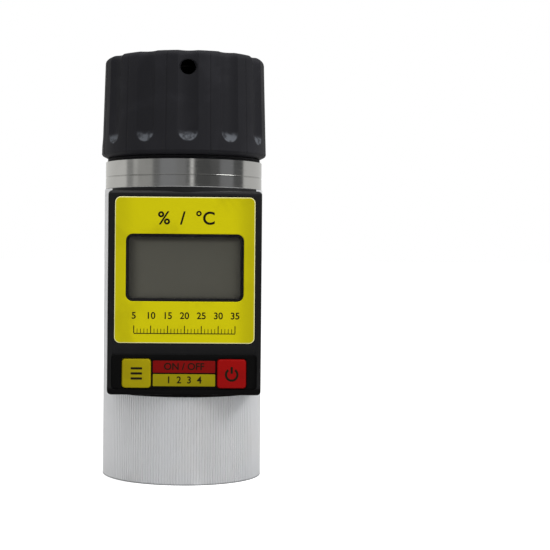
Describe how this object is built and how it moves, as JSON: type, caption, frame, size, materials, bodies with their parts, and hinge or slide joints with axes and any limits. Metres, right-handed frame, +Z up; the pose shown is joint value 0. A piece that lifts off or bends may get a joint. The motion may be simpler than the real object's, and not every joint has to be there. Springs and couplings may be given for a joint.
{
  "type": "grain moisture meter",
  "caption": "Hand-held grain moisture meter: ribbed tube with a measuring cup, a fluted screw cap with a sprung plate, and a front display housing with two keys.",
  "frame": {"origin": "middle of the tube's foot, on the surface it stands on", "axes": "+Z up along the tube's axis, -Y towards the display"},
  "size_m": [0.0792, 0.0797, 0.199],
  "materials": {
    "ribbed_tube": "fine ribbed anodised tube, pale silver",
    "turned_metal": "bright turned metal",
    "steel": "plain steel",
    "electrode_metal": "smooth stainless steel",
    "cap_black": "satin black moulded plastic",
    "housing_black": "fine textured black plastic",
    "panel_black": "black printed overlay",
    "inner_black": "black moulded plastic",
    "seal_rubber": "black rubber",
    "label_yellow": "yellow printed film",
    "key_yellow": "yellow key",
    "key_red": "red key",
    "clear_lens": "clear acrylic",
    "display_grey": "grey display glass, switched off",
    "insulator_white": "white insulating plastic",
    "board_green": "green circuit board",
    "chip_black": "chips and connectors",
    "contact_rubber": "conductive rubber",
    "lead_red": "wire insulation",
    "cell_wrap": "plain cell jacket",
    "contact_brass": "contact plate",
    "foam": "foam pad",
    "indicator_white": "pale indicator stem"
  },
  "bodies": {
    "meter_body": {"body_tube": "ribbed_tube", "measuring_cup": "turned_metal", "neck_seal": "seal_rubber", "centre_electrode": "electrode_metal", "electrode_insulator": "insulator_white", "electrode_nut": "steel", "temperature_sensor": "electrode_metal", "display_housing": "housing_black", "face_label": "label_yellow", "window_lens": "clear_lens", "lcd_glass": "display_grey", "lcd_bezel": "inner_black", "zebra_strips": "contact_rubber", "main_board": "board_green", "board_components": "chip_black", "board_screws": "steel", "key_switches": "chip_black", "keypad_panel": "panel_black", "power_strip": "key_red", "function_strip": "key_yellow", "housing_screws": "steel", "electrode_lead": "lead_red", "battery_leads": "lead_red", "base_plate": "inner_black", "battery_frame": "inner_black", "batteries": "cell_wrap", "battery_contacts": "contact_brass"},
    "cap_carrier": {"spring_washer": "steel", "pressure_spring": "steel"},
    "cap": {"cap_shell": "cap_black"},
    "press_plate": {"pressure_plate": "electrode_metal", "indicator_stem": "indicator_white", "stem_clip": "steel"},
    "function_key": {"function_key": "key_yellow"},
    "power_key": {"power_key": "key_red"},
    "battery_lid": {"battery_lid": "inner_black", "lid_pad": "foam"}
  },
  "joints": [
    {"name": "cap_lift", "type": "slide", "parent": "meter_body", "child": "cap_carrier", "axis": [0, 0, 1], "range_m": [0, 0.0545]},
    {"name": "cap_turn", "type": "hinge", "parent": "cap_carrier", "child": "cap", "pos_m": [0, 0, 0.17], "axis": [0, 0, 1], "range_deg": [0, 3240]},
    {"name": "plate_press", "type": "slide", "parent": "cap_carrier", "child": "press_plate", "axis": [0, 0, 1], "range_m": [0, 0.004], "stiffness_N_per_m": 800, "springref_m": -0.004, "deforming": ["pressure_spring"]},
    {"name": "function_key_press", "type": "slide", "parent": "meter_body", "child": "function_key", "axis": [0, 1, 0], "range_m": [0, 0.0005], "stiffness_N_per_m": 1000, "springref_m": -0.0003},
    {"name": "power_key_press", "type": "slide", "parent": "meter_body", "child": "power_key", "axis": [0, 1, 0], "range_m": [0, 0.0005], "stiffness_N_per_m": 1000, "springref_m": -0.0003},
    {"name": "lid_turn", "type": "hinge", "parent": "meter_body", "child": "battery_lid", "pos_m": [0, 0, 0.003], "axis": [0, 0, -1], "range_deg": [0, 45]}
  ],
  "couplings": [
    {"joint": "cap_lift", "follows": "cap_turn", "m_per_rad": 0.00095493}
  ]
}
